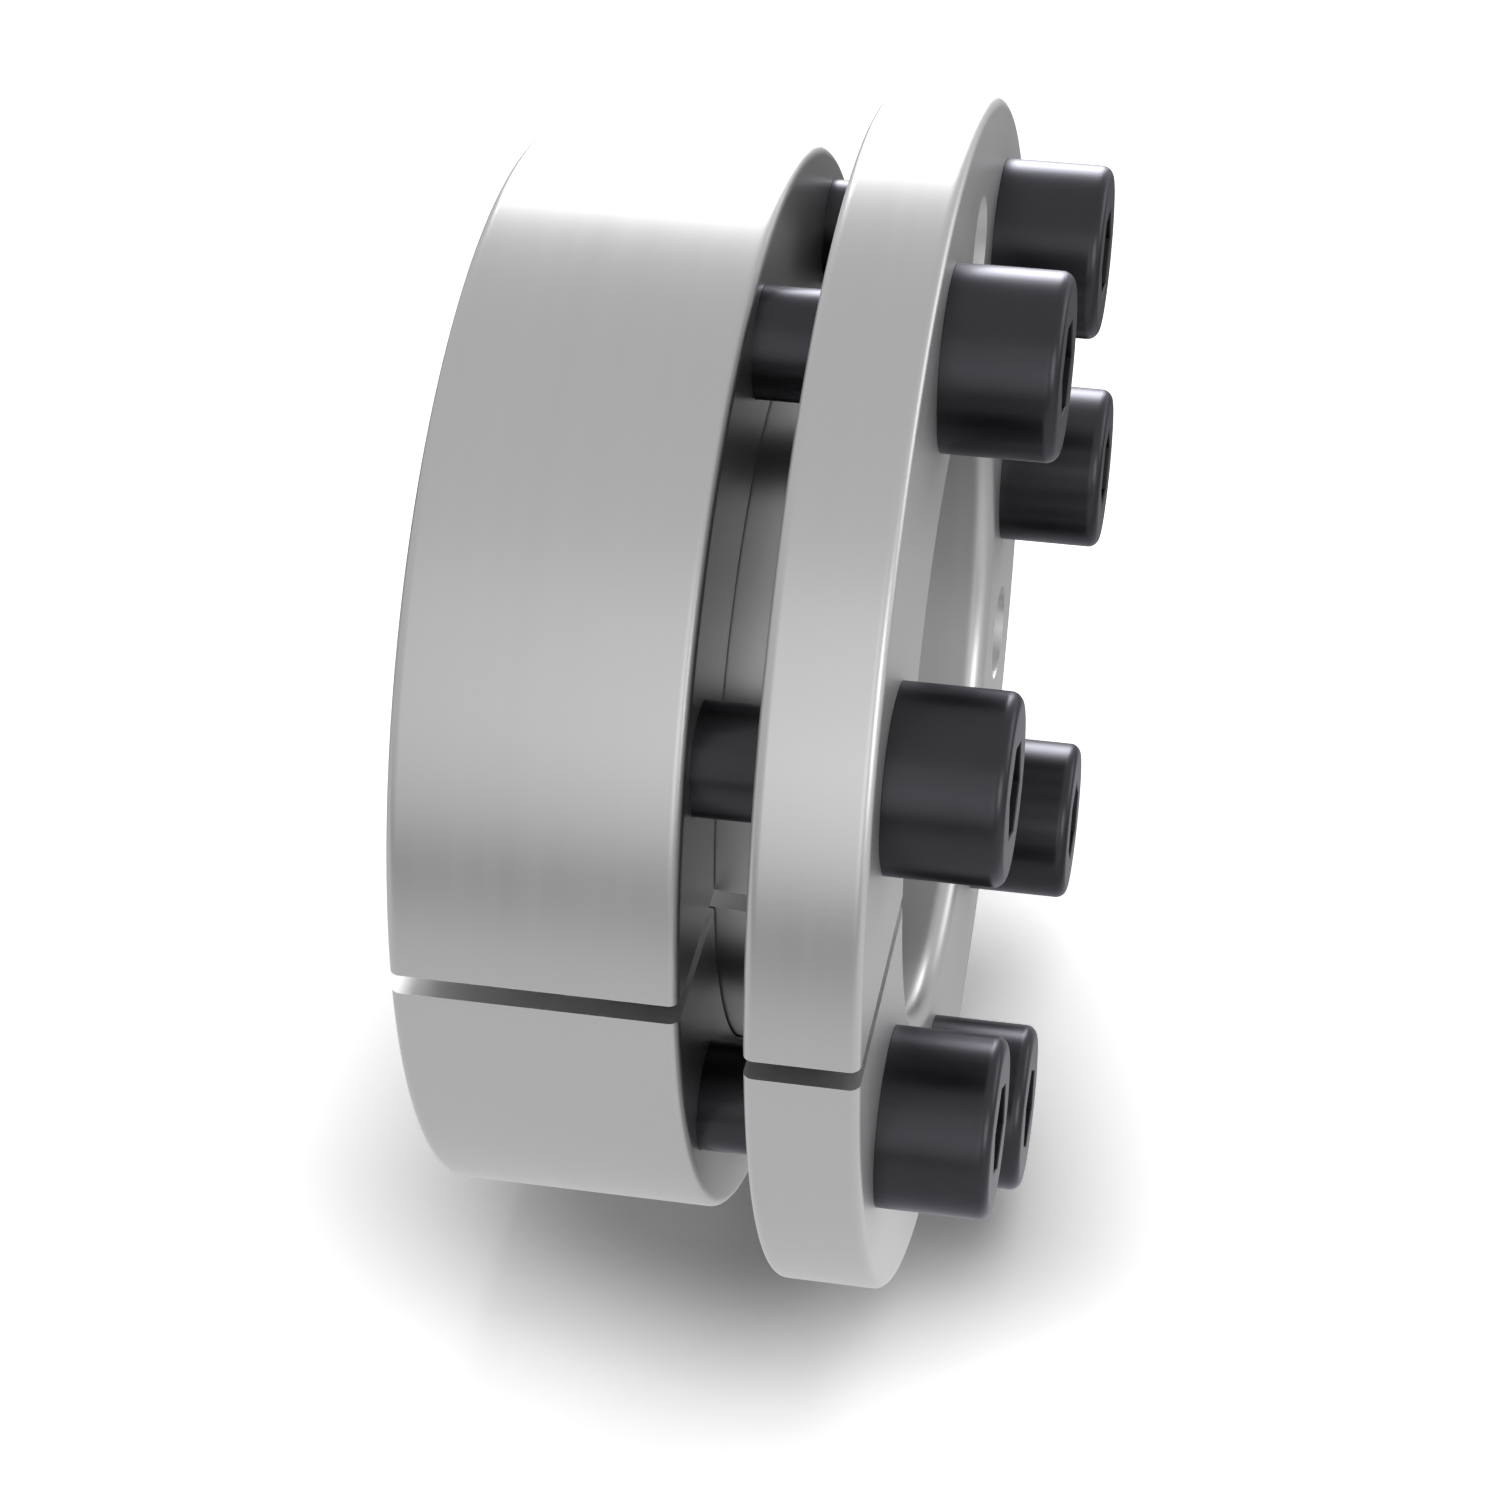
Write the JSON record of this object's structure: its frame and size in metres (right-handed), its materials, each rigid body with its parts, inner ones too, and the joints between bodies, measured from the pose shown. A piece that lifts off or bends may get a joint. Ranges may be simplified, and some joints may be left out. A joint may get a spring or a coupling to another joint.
{
  "type": "keyless locking assembly",
  "caption": "Split tapered sleeve with a flange inside a split outer ring; cap screws draw them together to clamp a hub on a plain shaft.",
  "frame": {"origin": "on the shaft's axis, in the plane of the outer ring's free end face", "axes": "+Z along the shaft's axis towards the screw heads; the slit through both rings is on the -Y side"},
  "size_m": [0.089, 0.089, 0.041],
  "materials": {
    "ring_steel": "satin, fine turned steel",
    "black_screw_steel": "satin black oxide"
  },
  "bodies": {
    "outer_ring": {"outer_ring": "ring_steel"},
    "inner_ring": {"inner_ring": "ring_steel"},
    "clamp_screw_1": {"clamp_screw_1": "black_screw_steel"},
    "clamp_screw_2": {"clamp_screw_2": "black_screw_steel"},
    "clamp_screw_3": {"clamp_screw_3": "black_screw_steel"},
    "clamp_screw_4": {"clamp_screw_4": "black_screw_steel"},
    "clamp_screw_5": {"clamp_screw_5": "black_screw_steel"},
    "clamp_screw_6": {"clamp_screw_6": "black_screw_steel"},
    "clamp_screw_7": {"clamp_screw_7": "black_screw_steel"}
  },
  "joints": [
    {"name": "clamp_travel", "type": "slide", "parent": "outer_ring", "child": "inner_ring", "axis": [0, 0, -1], "range_m": [0, 0.002]},
    {"name": "screw_turn_1", "type": "hinge", "parent": "inner_ring", "child": "clamp_screw_1", "pos_m": [0.01488, -0.03091, 0.033], "axis": [0, 0, -1], "range_deg": [0, 576]},
    {"name": "screw_turn_2", "type": "hinge", "parent": "inner_ring", "child": "clamp_screw_2", "pos_m": [0.03344, -0.00763, 0.033], "axis": [0, 0, -1], "range_deg": [0, 576]},
    {"name": "screw_turn_3", "type": "hinge", "parent": "inner_ring", "child": "clamp_screw_3", "pos_m": [0.02682, 0.02139, 0.033], "axis": [0, 0, -1], "range_deg": [0, 576]},
    {"name": "screw_turn_4", "type": "hinge", "parent": "inner_ring", "child": "clamp_screw_4", "pos_m": [0, 0.03431, 0.033], "axis": [0, 0, -1], "range_deg": [0, 576]},
    {"name": "screw_turn_5", "type": "hinge", "parent": "inner_ring", "child": "clamp_screw_5", "pos_m": [-0.02682, 0.02139, 0.033], "axis": [0, 0, -1], "range_deg": [0, 576]},
    {"name": "screw_turn_6", "type": "hinge", "parent": "inner_ring", "child": "clamp_screw_6", "pos_m": [-0.03344, -0.00763, 0.033], "axis": [0, 0, -1], "range_deg": [0, 576]},
    {"name": "screw_turn_7", "type": "hinge", "parent": "inner_ring", "child": "clamp_screw_7", "pos_m": [-0.01488, -0.03091, 0.033], "axis": [0, 0, -1], "range_deg": [0, 576]}
  ],
  "couplings": [
    {"joint": "screw_turn_1", "follows": "clamp_travel", "rad_per_m": 5026.5},
    {"joint": "screw_turn_2", "follows": "clamp_travel", "rad_per_m": 5026.5},
    {"joint": "screw_turn_3", "follows": "clamp_travel", "rad_per_m": 5026.5},
    {"joint": "screw_turn_4", "follows": "clamp_travel", "rad_per_m": 5026.5},
    {"joint": "screw_turn_5", "follows": "clamp_travel", "rad_per_m": 5026.5},
    {"joint": "screw_turn_6", "follows": "clamp_travel", "rad_per_m": 5026.5},
    {"joint": "screw_turn_7", "follows": "clamp_travel", "rad_per_m": 5026.5}
  ]
}
